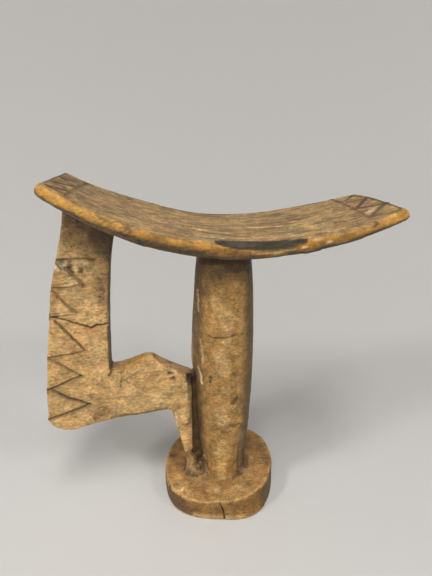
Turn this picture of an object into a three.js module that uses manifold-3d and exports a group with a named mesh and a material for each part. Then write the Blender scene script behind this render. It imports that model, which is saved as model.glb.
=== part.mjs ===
// A wooden headrest carved from one block. A curved plate stands on a round column and foot.
// A flat arm hangs from the plate's left end, with a crosspiece and a tapered spike beside the column.
// Millimetres, +Z up. X runs along the plate, and -Y is the front with the carved zigzag.
// The origin is where the column's axis meets the surface that the foot stands on.
import * as THREE from 'three';
import { mergeVertices } from 'three/addons/utils/BufferGeometryUtils.js';
import Module from 'manifold-3d';

const wasm = await Module();
wasm.setup();

const DEGREE = Math.PI / 180;
const WELD = 1e-4;
const SLOPE_STEP = 0.01;

// The plate's top is lowest at lowX and sweeps up to each end.
const SEAT = { lowX: 11, lowZ: 169.1 };
const LEFT_SWEEP = { reach: 101, rise: 32.8, power: 2.1 };
const RIGHT_SWEEP = { reach: 79, rise: 14.3, power: 2 };

// The plate narrows and thins towards its ends, is a little wider at the back of its middle, and
// its underside bulges along the middle. Its back edge rises a little on both sides of the column.
const PLATE = {
  leftX: -81.9,
  rightX: 84.8,
  leftSkew: 1.1,
  rightSkew: 0.4,
  backCornerCut: 3.2,
  topHalfWidth: 32.3,
  halfLength: 88,
  endNarrowing: 8.3,
  backWidening: 1.6,
  leftDrift: 1.5,
  edgeThickness: 8.3,
  leftThinning: 2.3,
  rightThinning: 1.2,
  bulge: 3.4,
  stepsAlong: 44,
  stepsAcross: 8,
};
const BACK_RISES = [
  { x: -42, spread: 22, rise: 1.5 },
  { x: 52, spread: 24, rise: 1 },
];

// Steps of the plate's rim from the top face down. out is how far the rim stands out from the top
// face, and depth is the share of the thickness. The left end is blunter and the right end sharper.
const RIM = [
  { out: 0, depth: 0 },
  { out: 1, depth: 0.16 },
  { out: 1.3, depth: 0.6 },
  { out: -0.1, depth: 0.86 },
  { out: -2.4, depth: 1 },
];
const LEFT_NOSE = 0.7;
const RIGHT_NOSE = 1.7;

// The column swells to its fullest radius near mid height, and its lower end is cut to flats.
const COLUMN = {
  lowRings: [10, 14.2, 17, 20, 24, 30],
  topZ: 163,
  steps: 15,
  fullestZ: 97,
  fullestRadius: 17.6,
  shrinkBelow: 0.00055,
  shrinkAbove: 0.00079,
  flats: 8,
  flatsTurn: -98.8 * DEGREE,
  flatsEndZ: 48,
  sides: 48,
};
// The lower end spreads onto the foot, most of all in front.
const FLARE = { height: 14, around: 0.9, reach: 2.6, angle: -106 * DEGREE, spread: 50 * DEGREE };
// How far the column's left side stands out from round, as Z and reach.
const LEFT_SIDE = [[80, 0], [90, 1.3], [120, 0.1], [160, -0.7]];

// The foot is a round disc with uneven sides.
const FOOT = { centreX: -2.2, centreY: 0.3, radius: 34.8, height: 14.2, edge: 0.6, sides: 72 };
const FOOT_SWELLS = [
  { angle: -143 * DEGREE, spread: 24 * DEGREE, top: 2.7, bottom: 2.6 },
  { angle: -95 * DEGREE, spread: 20 * DEGREE, top: -0.4, bottom: -1 },
  { angle: -62 * DEGREE, spread: 26 * DEGREE, top: -0.4, bottom: 3.5 },
  { angle: -26 * DEGREE, spread: 18 * DEGREE, top: -0.9, bottom: -0.2 },
  { angle: 36 * DEGREE, spread: 26 * DEGREE, top: 2.6, bottom: 1.2 },
];

// The arm, crosspiece and spike are one board.
const BOARD = { thickness: 14.4, edge: 0.9, plateOverlap: 5 };
const WEB = { left: -23, right: -10, front: -3.2, back: 5.4, bottomZ: 13, topZ: 81.4 };
const STUB = { height: 15, topRadius: 2.1, bottomRadius: 5.8, sides: 7, tipX: -21.8, tipY: -4.2 };
const STUB_FOOT = { x: -18.6, y: -4.8, z: 12.5 };
const STUB_LUMPS = { count: 5, size: 0.12, twist: 3 };

// The crosspiece's top falls a little to the back, and its peak is pared to a ridge.
const CROSSPIECE = { left: -66.5, right: -18, bottomZ: 80, topZ: 100, fall: 1.8 };
const PARING = { ridgeY: 1.5, ridgeZ: 96.2, frontDrop: 6, backDrop: 2.2, left: -62, right: -24 };

// Incised lines.
const ZIGZAG = { width: 1.7, depth: 0.9 };
const END_ZIGZAG = { width: 1.9, depth: 0.7 };
const END_LINE = { width: 1.3, depth: 0.6 };
const CRACK = { width: 0.8, depth: 1.6 };

const WOOD = { color: 0x9c7a4c, roughness: 0.72, metalness: 0 };

// A geometry whose shared vertices are merged becomes a solid that can be joined and cut.
function toSolid(geometry) {
  const bare = new THREE.BufferGeometry();
  bare.setAttribute('position', geometry.getAttribute('position'));
  bare.setIndex(geometry.index);
  const merged = mergeVertices(bare, WELD);
  const corners = merged.index.array;
  const triangles = [];
  for (let i = 0; i < corners.length; i += 3) {
    const [a, b, c] = corners.slice(i, i + 3);
    if (a !== b && b !== c && c !== a) triangles.push(a, b, c);
  }
  return new wasm.Manifold(new wasm.Mesh({
    numProp: 3,
    vertProperties: Float32Array.from(merged.getAttribute('position').array),
    triVerts: Uint32Array.from(triangles),
  }));
}

// Moves every vertex of a geometry to where the function puts it.
function reshape(geometry, place) {
  const position = geometry.getAttribute('position');
  const point = new THREE.Vector3();
  for (let i = 0; i < position.count; i += 1) {
    point.fromBufferAttribute(position, i);
    place(point);
    position.setXYZ(i, point.x, point.y, point.z);
  }
  return geometry;
}

// How far an angle is turned from another, from minus to plus half a turn.
function turnFrom(angle, other) {
  return Math.atan2(Math.sin(angle - other), Math.cos(angle - other));
}

function seatHeight(x) {
  const sweep = x < SEAT.lowX ? LEFT_SWEEP : RIGHT_SWEEP;
  return SEAT.lowZ + sweep.rise * (Math.abs(x - SEAT.lowX) / sweep.reach) ** sweep.power;
}

function seatSlope(x) {
  return (seatHeight(x + SLOPE_STEP) - seatHeight(x - SLOPE_STEP)) / (2 * SLOPE_STEP);
}

// Half the width of the plate's top face.
function topHalfWidth(x) {
  return PLATE.topHalfWidth - PLATE.endNarrowing * (x / PLATE.halfLength) ** 2;
}

// How far the back of the plate's top rises. across goes from -1 at the front edge to 1 at the back.
function backRise(x, across) {
  let rise = 0;
  for (const lump of BACK_RISES) rise += lump.rise * Math.exp(-(((x - lump.x) / lump.spread) ** 2));
  return rise * Math.max(0, across) ** 2;
}

// The point that lies the given depth below the top surface, square to it.
function underSeat(x, y, depth) {
  const slope = seatSlope(x);
  const run = Math.hypot(1, slope);
  return new THREE.Vector3(x + (depth * slope) / run, y, seatHeight(x) - depth / run);
}

function makePlate() {
  const steps = RIM.length - 1;
  const box = new THREE.BoxGeometry(2, 2, 2, PLATE.stepsAlong, PLATE.stepsAcross, steps);
  return reshape(box, (point) => {
    const along = point.x;
    const across = point.y;
    const rim = RIM[Math.round((1 - point.z) * steps / 2)];
    const backCorner = PLATE.backCornerCut * Math.max(0, across) ** 3;
    const leftEnd = PLATE.leftX + PLATE.leftSkew * across - rim.out * LEFT_NOSE;
    const rightEnd = PLATE.rightX - PLATE.rightSkew * across - backCorner + rim.out * RIGHT_NOSE;
    const x = THREE.MathUtils.lerp(leftEnd, rightEnd, (along + 1) / 2);
    const outward = (x / PLATE.halfLength) ** 2;
    const halfWidth = topHalfWidth(x) + rim.out;
    const back = PLATE.backWidening * Math.max(0, across) * (1 - outward);
    const y = across * halfWidth + back - (x < 0 ? PLATE.leftDrift * outward : 0);
    const thinning = x < 0 ? PLATE.leftThinning : PLATE.rightThinning;
    const thickness = PLATE.edgeThickness - thinning * outward;
    const bulge = rim.depth === 1 ? PLATE.bulge * (1 - across ** 2) * (1 - along ** 2) : 0;
    point.copy(underSeat(x, y, rim.depth * thickness + bulge));
    point.z += backRise(x, across);
  });
}

function columnRadius(z) {
  const shrink = z < COLUMN.fullestZ ? COLUMN.shrinkBelow : COLUMN.shrinkAbove;
  return COLUMN.fullestRadius - shrink * (z - COLUMN.fullestZ) ** 2;
}

// The share of a regular polygon in a round section: 0 leaves it round and 1 cuts it to flats.
function flatten(angle, share) {
  const side = (2 * Math.PI) / COLUMN.flats;
  const turned = angle - COLUMN.flatsTurn;
  const offCentre = turned - side * Math.round(turned / side);
  const flat = Math.cos(side / 3) / Math.cos(offCentre);
  return 1 - share * Math.max(0, 1 - flat);
}

// How far the column's lower end spreads at a height and angle.
function flareReach(z, angle) {
  const share = THREE.MathUtils.clamp(1 - (z - FOOT.height) / FLARE.height, 0, 1);
  const forward = Math.exp(-((turnFrom(angle, FLARE.angle) / FLARE.spread) ** 2));
  return share ** 2 * (FLARE.around + FLARE.reach * forward);
}

// How far the column's left side stands out from round at a height and angle.
function leftReach(z, angle) {
  const next = LEFT_SIDE.findIndex(([height]) => height > z);
  const leftward = Math.max(0, -Math.cos(angle)) ** 2;
  if (next === 0) return LEFT_SIDE[0][1] * leftward;
  if (next < 0) return LEFT_SIDE.at(-1)[1] * leftward;
  const [lowZ, low] = LEFT_SIDE[next - 1];
  const [highZ, high] = LEFT_SIDE[next];
  return THREE.MathUtils.mapLinear(z, lowZ, highZ, low, high) * leftward;
}

function makeColumn() {
  const { lowRings, topZ, steps, sides, fullestRadius } = COLUMN;
  const heights = [...lowRings];
  for (let i = 1; i <= steps; i += 1) {
    heights.push(THREE.MathUtils.lerp(lowRings.at(-1), topZ, i / steps));
  }
  const rings = heights.map((z) => new THREE.Vector2(columnRadius(z), z));
  const profile = [new THREE.Vector2(0, lowRings[0]), ...rings, new THREE.Vector2(0, topZ)];
  const lathe = new THREE.LatheGeometry(profile, sides).rotateX(Math.PI / 2);
  return reshape(lathe, (point) => {
    const angle = Math.atan2(point.y, point.x);
    const height = (point.z - FOOT.height) / (COLUMN.flatsEndZ - FOOT.height);
    const flats = flatten(angle, THREE.MathUtils.clamp(1 - height, 0, 1));
    const reach = flareReach(point.z, angle) + leftReach(point.z, angle);
    const factor = flats * (1 + reach / fullestRadius);
    point.x *= factor;
    point.y *= factor;
  });
}

function makeFoot() {
  const { radius, height, edge, sides } = FOOT;
  const outline = [[0, 0], [radius - edge, 0], [radius, edge], [radius, height / 2],
    [radius, height - edge], [radius - edge, height], [0, height]];
  const profile = outline.map(([r, z]) => new THREE.Vector2(r, z));
  const lathe = new THREE.LatheGeometry(profile, sides).rotateX(Math.PI / 2);
  return reshape(lathe, (point) => {
    const angle = Math.atan2(point.y, point.x);
    const reach = Math.hypot(point.x, point.y) / radius;
    let swell = 0;
    for (const lump of FOOT_SWELLS) {
      const size = THREE.MathUtils.lerp(lump.bottom, lump.top, point.z / height);
      swell += size * Math.exp(-((turnFrom(angle, lump.angle) / lump.spread) ** 2));
    }
    point.x += FOOT.centreX + Math.cos(angle) * swell * reach;
    point.y += FOOT.centreY + Math.sin(angle) * swell * reach;
  });
}

// The board's outline seen from the front, as X and Z.
function boardOutline() {
  const top = (x) => new THREE.Vector2(x, seatHeight(x) - BOARD.plateOverlap);
  const points = (list) => list.map(([x, z]) => new THREE.Vector2(x, z));
  const outline = new THREE.Shape();
  outline.moveTo(-79.2, 187.5);
  outline.splineThru(points([[-80.1, 177.3], [-83.5, 164], [-89.8, 142.7], [-93, 126],
    [-96.9, 103], [-100.2, 81.6], [-102.1, 62]]));
  outline.lineTo(-100.6, 57.2);
  outline.lineTo(-96, 54.4);
  outline.lineTo(-90.4, 52.9);
  outline.splineThru(points([[-86.4, 53.5], [-78.5, 56], [-65.9, 58.6], [-50, 60.1], [-32.8, 61.8]]));
  outline.lineTo(-31.3, 60.4);
  outline.splineThru(points([[-30, 52.7], [-26.8, 39.4], [-24, 25]]));
  outline.lineTo(-20.2, 25);
  outline.lineTo(-19.4, 34);
  outline.lineTo(-19, 83.2);
  outline.lineTo(-25.3, 86.2);
  outline.lineTo(-31, 89.2);
  outline.lineTo(-36.5, 92.6);
  outline.lineTo(-41.4, 96.6);
  outline.lineTo(-42.8, 97);
  outline.lineTo(-54.6, 92.8);
  outline.splineThru(points([[-60, 91.6], [-64.8, 91.1]]));
  outline.splineThru(points([[-63.6, 111], [-62.3, 128.8], [-60.5, 145.6], [-58.7, 159], [-55.4, 172]]));
  outline.lineTo(-58, top(-58).y);
  outline.lineTo(-75, top(-75).y);
  return outline;
}

function makeBoard() {
  const { thickness, edge } = BOARD;
  const board = new THREE.ExtrudeGeometry(boardOutline(), {
    depth: thickness - 2 * edge,
    bevelThickness: edge,
    bevelSize: edge,
    bevelOffset: -edge,
    bevelSegments: 2,
    curveSegments: 4,
  });
  board.rotateX(Math.PI / 2).translate(0, thickness / 2 - edge, 0);
  return reshape(board, (point) => {
    const { left, right, bottomZ, topZ, fall } = CROSSPIECE;
    const inside = point.x > left && point.x < right && point.z > bottomZ && point.z < topZ;
    if (inside) point.z -= fall * (point.y / thickness + 0.5);
  });
}

// A thin wall in the bottom of the groove between the spike and the column.
function makeWeb() {
  const low = new THREE.Vector3(WEB.left, WEB.front, WEB.bottomZ);
  const high = new THREE.Vector3(WEB.right, WEB.back, WEB.topZ);
  const size = new THREE.Vector3().subVectors(high, low);
  const middle = new THREE.Vector3().addVectors(low, high).divideScalar(2);
  return new THREE.BoxGeometry(...size).translate(...middle);
}

// The rough lump that was left standing between the spike's tip and the foot.
function makeStub() {
  const { height, topRadius, bottomRadius, sides, tipX, tipY } = STUB;
  const { count, size, twist } = STUB_LUMPS;
  const lump = new THREE.CylinderGeometry(topRadius, bottomRadius, height, sides, 2);
  lump.rotateX(Math.PI / 2).translate(0, 0, height / 2);
  return reshape(lump, (point) => {
    const share = point.z / height;
    const rough = 1 + size * Math.sin(count * Math.atan2(point.y, point.x) + twist * share);
    point.x = point.x * rough + THREE.MathUtils.lerp(STUB_FOOT.x, tipX, share);
    point.y = point.y * rough + THREE.MathUtils.lerp(STUB_FOOT.y, tipY, share);
    point.z += STUB_FOOT.z;
  });
}

// A wedge that pares the crosspiece's peak from its ridge down to one face of the board.
function makeParing(side, drop) {
  const margin = 3;
  const ridge = side * PARING.ridgeY;
  const face = BOARD.thickness / 2;
  const slope = drop / (face - ridge);
  const section = new THREE.Shape();
  section.moveTo(ridge - margin, PARING.ridgeZ + slope * margin);
  section.lineTo(face + margin, PARING.ridgeZ - slope * (face + margin - ridge));
  section.lineTo(face + margin, PARING.ridgeZ + 3 * margin);
  section.lineTo(ridge - margin, PARING.ridgeZ + 3 * margin);
  const wedge = new THREE.ExtrudeGeometry(section, {
    depth: PARING.right - PARING.left,
    bevelEnabled: false,
  });
  const outwards = new THREE.Vector3(0, side, 0);
  const upwards = new THREE.Vector3(0, 0, 1);
  const along = new THREE.Vector3(side, 0, 0);
  wedge.applyMatrix4(new THREE.Matrix4().makeBasis(outwards, upwards, along));
  return wedge.translate(side > 0 ? PARING.left : PARING.right, 0, 0);
}

// A V-shaped cutter from one point to the next, with the given direction out of the surface.
function cutter(from, to, outwards, { width, depth }) {
  const along = new THREE.Vector3().subVectors(to, from);
  const length = along.length() + width / 2;
  along.normalize();
  const across = new THREE.Vector3().crossVectors(along, outwards).normalize();
  const upright = new THREE.Vector3().crossVectors(across, along);
  const blade = new THREE.CylinderGeometry(1, 1, length, 4);
  blade.scale(width / 2, 1, depth);
  blade.applyMatrix4(new THREE.Matrix4().makeBasis(across, along, upright));
  const middle = new THREE.Vector3().addVectors(from, to).divideScalar(2);
  return toSolid(blade.translate(middle.x, middle.y, middle.z));
}

function cutLine(solid, points, outwards, tool) {
  for (let i = 1; i < points.length; i += 1) {
    solid = solid.subtract(cutter(points[i - 1], points[i], outwards, tool));
  }
  return solid;
}

const onFront = ([x, z]) => new THREE.Vector3(x, -BOARD.thickness / 2, z);
const onSeat = ([x, y]) => new THREE.Vector3(x, y, seatHeight(x) + backRise(x, y / topHalfWidth(x)));

const ARM_LINES = [
  [[-87, 157.6], [-67.5, 157.1]],
  [[-86, 157.4], [-74, 143.4], [-91, 142]],
  [[-89, 141], [-78.5, 128], [-93, 126]],
  [[-90, 125], [-76.5, 105.4], [-97, 102.6]],
  [[-96, 102], [-81, 90], [-100, 81.4]],
  [[-98, 82], [-77.5, 70.2], [-101.5, 61.6]],
];
const ARM_CRACK = [[-94, 126], [-80.1, 122.1], [-72, 119.3], [-68.9, 120.2], [-61.5, 120.9]];
const END_LINES = [
  [[-70.6, 24], [-72.4, 1.2], [-73.4, -12.7], [-73.4, -25]],
  [[69.2, 27], [70.5, 13.7], [70.9, 1.1], [70.7, -8.4], [69.9, -20.4]],
];
const END_ZIGZAGS = [
  [[-79.6, 19.4], [-73, 16.4], [-80.4, 5.4], [-72.6, 2.6], [-80.8, -11], [-73.4, -12.7],
    [-81, -22.8], [-73.8, -22.6]],
  [[79.2, 22.4], [70.8, 14], [82.4, 10.8], [71.2, -1.2], [83, -8.4], [70.8, -19.2], [76.3, -21.4],
    [82.2, -23.2]],
];

let headrest = toSolid(makePlate());
for (const piece of [makeColumn(), makeFoot(), makeBoard(), makeWeb(), makeStub()]) {
  headrest = headrest.add(toSolid(piece));
}
headrest = headrest.subtract(toSolid(makeParing(-1, PARING.frontDrop)));
headrest = headrest.subtract(toSolid(makeParing(1, PARING.backDrop)));

const FORWARD = new THREE.Vector3(0, -1, 0);
const UP = new THREE.Vector3(0, 0, 1);
for (const line of ARM_LINES) headrest = cutLine(headrest, line.map(onFront), FORWARD, ZIGZAG);
headrest = cutLine(headrest, ARM_CRACK.map(onFront), FORWARD, CRACK);
for (const line of END_LINES) headrest = cutLine(headrest, line.map(onSeat), UP, END_LINE);
for (const line of END_ZIGZAGS) headrest = cutLine(headrest, line.map(onSeat), UP, END_ZIGZAG);

const cut = headrest.getMesh();
const geometry = new THREE.BufferGeometry();
geometry.setAttribute('position', new THREE.Float32BufferAttribute(cut.vertProperties, 3));
geometry.setIndex(Array.from(cut.triVerts));
geometry.computeVertexNormals();

const mesh = new THREE.Mesh(geometry, new THREE.MeshStandardMaterial(WOOD));
mesh.name = 'headrest';

const group = new THREE.Group();
group.add(mesh);
export default group;
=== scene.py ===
# A carved wooden headrest on a pale studio sweep.
# The carving is measured in millimetres in the frame's own axes, and Blender's objects are in metres.
import itertools
import math
from collections import namedtuple

import bmesh
import bpy
import numpy as np
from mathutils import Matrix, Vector


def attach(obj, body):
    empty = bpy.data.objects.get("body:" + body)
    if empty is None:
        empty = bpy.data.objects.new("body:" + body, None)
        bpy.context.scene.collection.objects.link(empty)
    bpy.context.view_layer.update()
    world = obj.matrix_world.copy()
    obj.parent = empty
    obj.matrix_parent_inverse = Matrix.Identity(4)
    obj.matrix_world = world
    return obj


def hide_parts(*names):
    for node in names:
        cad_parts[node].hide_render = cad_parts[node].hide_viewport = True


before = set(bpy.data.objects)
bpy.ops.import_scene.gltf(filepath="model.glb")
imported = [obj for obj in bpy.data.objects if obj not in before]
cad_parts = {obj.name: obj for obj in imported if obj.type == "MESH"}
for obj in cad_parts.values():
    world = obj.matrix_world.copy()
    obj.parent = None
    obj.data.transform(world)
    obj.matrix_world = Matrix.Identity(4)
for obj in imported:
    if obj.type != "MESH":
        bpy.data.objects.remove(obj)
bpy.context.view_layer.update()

MM = 0.001

# The camera stands a little left of the object and looks down on it. Its angles are in radians.
CAMERA = {
    "place": (-34.26 * MM, -220.28 * MM, 223.74 * MM),
    "pitch": 0.37845,
    "turn": 0.13602,
    "sensor": 36.0,
    "lens": 27.06,
}

# A round studio sweep: a flat floor that curves up into a wall all round.
SWEEP = {"floor_radius": 0.13, "wall_radius": 0.72, "wall_height": 0.60, "steps": 24, "sides": 96}
SWEEP_COLOUR = (0.56, 0.553, 0.538)

# Soft area lights that look at the middle of the object: place, size, power and colour.
LIGHTS = {
    "overhead": ((0.0, -0.30, 1.15), 0.30, 2.9, (1.0, 0.985, 0.965)),
    "key": ((-0.12, -0.50, 0.95), 0.30, 3.3, (1.0, 0.985, 0.965)),
    "left": ((-0.60, -0.25, 0.62), 0.14, 2.2, (1.0, 0.99, 0.975)),
    "right": ((0.45, -0.50, 0.68), 0.14, 1.2, (1.0, 0.99, 0.98)),
}
LIGHT_TARGET = Vector((0.0, 0.0, 0.10))
WORLD_COLOUR = (0.80, 0.80, 0.79)
WORLD_STRENGTH = 0.03

# The top of the plate, as in the frame: lowest at low_x, and swept up to each end.
SEAT = {"low_x": 11.0, "low_z": 169.1}
LEFT_SWEEP = {"reach": 101.0, "rise": 32.8, "power": 2.1}
RIGHT_SWEEP = {"reach": 79.0, "rise": 14.3, "power": 2.0}
PLATE = {
    "half_width": 33.3,
    "half_length": 88.0,
    "end_narrowing": 8.3,
    "thickness": 8.3,
    "thinning": 2.3,
    "bulge": 3.4,
    "lowest_z": 150.0,
}
# Where the back of the plate's top rises, as X, spread and height.
BACK_RISES = ((-42.0, 22.0, 1.5), (52.0, 24.0, 1.0))
# The bevel under the plate's front edge: how far it reaches up the edge at each X. It takes the
# underside's dark colour, which is partly painted shade.
BEVEL = {
    "x": (-75, -62, -52, -35, -12, 3, 14, 40, 80),
    "reach": (1.4, 2.6, 4.0, 4.4, 4.4, 3.2, 2.6, 2.0, 1.6),
}
COLUMN = {"fullest_z": 97.0, "radius": 17.6, "below": 0.00055, "above": 0.00079, "top": 165.0}
FOOT = {"x": -2.2, "y": 0.3, "radius": 34.8, "height": 14.2}
# The board is the arm, crosspiece and spike. It ends at the column's side.
BOARD_FRONT = -7.2
BOARD_RIGHT = -18.0

# The fine mesh: its grid, and the cuts in each edge that lies within reach of a line.
GRID = 1.0
FINE_CUTS = 2
FINE_REACH = 0.85

# Incised lines on the arm's front, as X and Z, with their half width, depth and darkness.
ARM_CUTS = [
    ([[-87, 157.6], [-77, 157.5], [-66.5, 157.1]], 0.60, 0.7, 0.65),
    ([[-86, 157.4], [-81, 152.7]], 1.0, 0.3, 0.0),
    ([[-81, 152.7], [-79.6, 151.3], [-73.6, 143.3]], 1.0, 1.0, 0.75),
    ([[-73.8, 143.0], [-77, 143.2], [-80, 142.4], [-91, 142.2]], 0.85, 0.9, 0.85),
    ([[-89, 141], [-83.2, 133.0], [-78.5, 128]], 0.75, 0.9, 0.65),
    ([[-87, 137.6], [-82.4, 131.6], [-79.6, 128.2]], 0.5, 0.5, 0.5),
    ([[-78.5, 127.4], [-86, 126.5], [-93, 126.4]], 0.6, 0.7, 0.6),
    ([[-90, 124], [-83, 114.6], [-76.5, 105.4]], 0.75, 1.0, 0.8),
    ([[-76.5, 105.4], [-86, 103.6], [-97.2, 102.4]], 0.7, 0.9, 0.8),
    ([[-96, 101.8], [-88, 95.6], [-80.6, 89.6]], 0.85, 1.0, 0.7),
    ([[-80.6, 89.4], [-87.9, 86.9], [-94.2, 83.6], [-100, 81.8]], 0.95, 1.1, 0.9),
    ([[-97.5, 81.8], [-89.2, 76.3], [-78, 70.3]], 0.95, 1.1, 0.95),
    ([[-78, 70.3], [-88.2, 66.3], [-101.2, 62.2]], 0.95, 1.1, 0.95),
]
ARM_CRACKS = [
    ([[-94, 126.6], [-90.6, 126.3], [-88.2, 125.7], [-83.4, 123.5], [-81.5, 122.6], [-79.5, 122.2]],
     0.42, 1.4, 0.9),
    ([[-79.5, 122.2], [-77.5, 121.2], [-75.1, 120.5], [-71.9, 118.9], [-70.5, 119.7], [-69.2, 120.4],
      [-66.8, 120.3], [-61.4, 120.9]], 0.6, 1.8, 1.0),
    ([[-62.9, 93.8], [-64.0, 91.2], [-65.3, 88.9]], 0.7, 1.0, 0.9),
    ([[-58.6, 90.9], [-58.9, 86.0], [-59.4, 80.5]], 0.45, 0.4, 0.55),
]
# Incised lines on the plate's top, as X and Y.
LEFT_CUTS = [
    ([[-70.6, 24], [-72.4, 1.2], [-73.4, -12.7], [-73.4, -25]], 0.75, 0.6, 0.62),
    ([[-79.6, 19.4], [-73, 16.4], [-80.4, 5.4], [-72.6, 2.6], [-80.8, -11], [-73.4, -12.7],
      [-81, -22.8], [-73.8, -22.6]], 0.85, 0.7, 0.9),
    ([[-80.6, -13.6], [-77.6, -11.4], [-73.2, -7.4]], 0.7, 0.4, 0.6),
]
RIGHT_CUTS = [
    ([[69.2, 27], [70.5, 13.7], [70.9, 1.1], [70.7, -8.4], [69.9, -20.4]], 0.85, 0.6, 0.8),
    ([[79.2, 22.4], [70.8, 14], [82.4, 10.8], [71.2, -1.2]], 1.05, 0.7, 0.95),
    ([[71.2, -0.4], [77, -3.8], [84, -7.2]], 1.7, 0.9, 1.0),
    ([[83, -8.4], [70.8, -19.2]], 1.15, 0.8, 0.95),
    ([[70.8, -19.2], [76.3, -21.4], [82.2, -23.6]], 1.2, 0.7, 0.9),
]
# Cracks round the column and the foot's side, as the angle in degrees and Z.
COLUMN_CRACKS = [
    ([[-127, 113.5], [-113.1, 112.7], [-104, 112.8], [-96, 113], [-86, 113.5], [-78.6, 114.3]],
     0.34, 0.6, 0.5),
]
FOOT_CRACKS = [
    ([[-97.3, 13.4], [-96.0, 11.4], [-94.1, 7.8]], 0.36, 1.1, 0.7),
    ([[-95.2, 10.0], [-94.1, 7.8], [-92.3, 2.5], [-92.2, 0.4]], 0.55, 1.5, 0.9),
]
# The middle of the lighter, rubbed side of the column and of the foot, in degrees. Their sides away from
# it are painted darker, as shade and as dirt.
COLUMN_FRONT = -104.0
FOOT_FRONT = -94.0

# Patches of colour on the board's front, as X and Z, with their half width, colour and share.
BOARD_STAINS = [
    # Pale and reddish wood on the upper arm.
    ([[-82.3, 156], [-77.5, 146]], 5.0, "pale", 0.45),
    ([[-74, 162], [-70.5, 149]], 3.0, "pale", 0.35),
    ([[-80.0, 140.2], [-72, 131], [-64.5, 124.5]], 5.5, "pale", 0.55),
    ([[-86, 133], [-88, 128]], 3.5, "pale", 0.30),
    ([[-89.6, 139], [-90.6, 128]], 4.2, "rust", 0.50),
    # The knot: a grey middle, dark sides and pale chips.
    ([[-84.2, 156.0], [-81.4, 153.8]], 2.6, "ash", 0.95),
    ([[-85.9, 156.4], [-84.8, 154.5], [-83.2, 152.1]], 0.8, "dirt", 0.75),
    ([[-79.2, 156.6], [-78.2, 154.6], [-79.6, 152.0]], 1.2, "dirt", 0.75),
    ([[-79.8, 155.0], [-79.0, 152.6], [-78.0, 150.8]], 1.5, "cut", 0.80),
    ([[-85.6, 157.3], [-80.2, 157.6]], 0.9, "cut", 0.85),
    ([[-86.6, 153.4], [-84.8, 152.3]], 1.7, "cream", 0.45),
    ([[-76.5, 155.7], [-71.0, 155.4]], 2.3, "cream", 0.28),
    ([[-77.0, 152.6], [-76.0, 151.4]], 1.4, "cream", 0.55),
    ([[-73.9, 151.8], [-74.0, 150.2]], 1.3, "cut", 0.80),
    # The arm's right edge, and scratches above the knot.
    ([[-66.2, 145], [-65.6, 133]], 3.6, "rust", 0.50),
    ([[-65.8, 141.5], [-63.6, 139.2]], 1.0, "dirt", 0.80),
    ([[-66.4, 137.2], [-65.0, 135.6]], 1.0, "dirt", 0.65),
    ([[-80.6, 163.2], [-75.0, 158.8]], 0.7, "bare", 0.50),
    ([[-79.6, 161.2], [-76.2, 163.0]], 0.6, "cut", 0.50),
    # Beside the large crack, and the lower arm.
    ([[-78.5, 119.5], [-69, 116.6]], 1.2, "bare", 0.40),
    ([[-73.4, 116.8], [-69.2, 118.0]], 1.6, "red", 0.50),
    ([[-82, 127.5], [-64, 122]], 2.4, "pale", 0.35),
    ([[-89, 112], [-86, 106]], 3.0, "pale", 0.35),
    ([[-73, 112], [-71, 84]], 4.5, "grey", 0.30),
    ([[-70.6, 92], [-70.4, 87]], 0.7, "bare", 0.45),
    ([[-74.4, 63.0], [-67.8, 65.4]], 3.4, "rust", 0.42),
    ([[-74.4, 67.0], [-71.0, 68.6], [-68.0, 66.6]], 0.7, "dirt", 0.50),
    ([[-76.3, 61.2], [-75.3, 59.9]], 1.3, "dirt", 0.70),
    ([[-85, 64], [-79, 61]], 3.2, "pale", 0.45),
    # The crosspiece and its chips.
    ([[-62, 72], [-34, 72]], 9.0, "pale", 0.30),
    ([[-32.8, 91.3], [-31.0, 90.0], [-28.2, 87.9]], 1.1, "cream", 0.90),
    ([[-38, 93.5], [-34, 91.5]], 1.2, "bare", 0.50),
    ([[-32.4, 87.5], [-30.8, 87.0]], 1.2, "cut", 0.85),
    ([[-31.0, 84.4], [-28.4, 83.4]], 1.5, "dirt", 0.65),
    ([[-50, 89.5], [-47, 89.8]], 1.0, "dirt", 0.50),
    ([[-42, 87], [-39, 86.6]], 1.1, "dirt", 0.50),
    # The right end of the crosspiece, and the spike.
    ([[-22.6, 79.0], [-22.2, 76.0]], 0.8, "cream", 0.60),
    ([[-21.9, 72.6], [-21.7, 69.6]], 0.7, "cream", 0.50),
    ([[-26.2, 77.3], [-25.8, 77.1]], 1.1, "dirt", 0.65),
    ([[-26.4, 88.0], [-25.6, 87.6]], 1.6, "olive", 0.55),
    ([[-21.4, 78], [-20.0, 65], [-20.4, 52]], 1.7, "dirt", 0.60),
    ([[-25.5, 58], [-24.2, 36]], 3.2, "bare", 0.80),
    ([[-29.8, 59.6], [-28.9, 54.5], [-27.8, 48.4]], 0.9, "cream", 0.60),
    # Painted shade along the crosspiece's lower edge.
    ([[-66, 60.2], [-50, 61.4], [-42, 62.2], [-34.5, 63.0]], 1.3, "dirt", 0.70),
]
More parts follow.
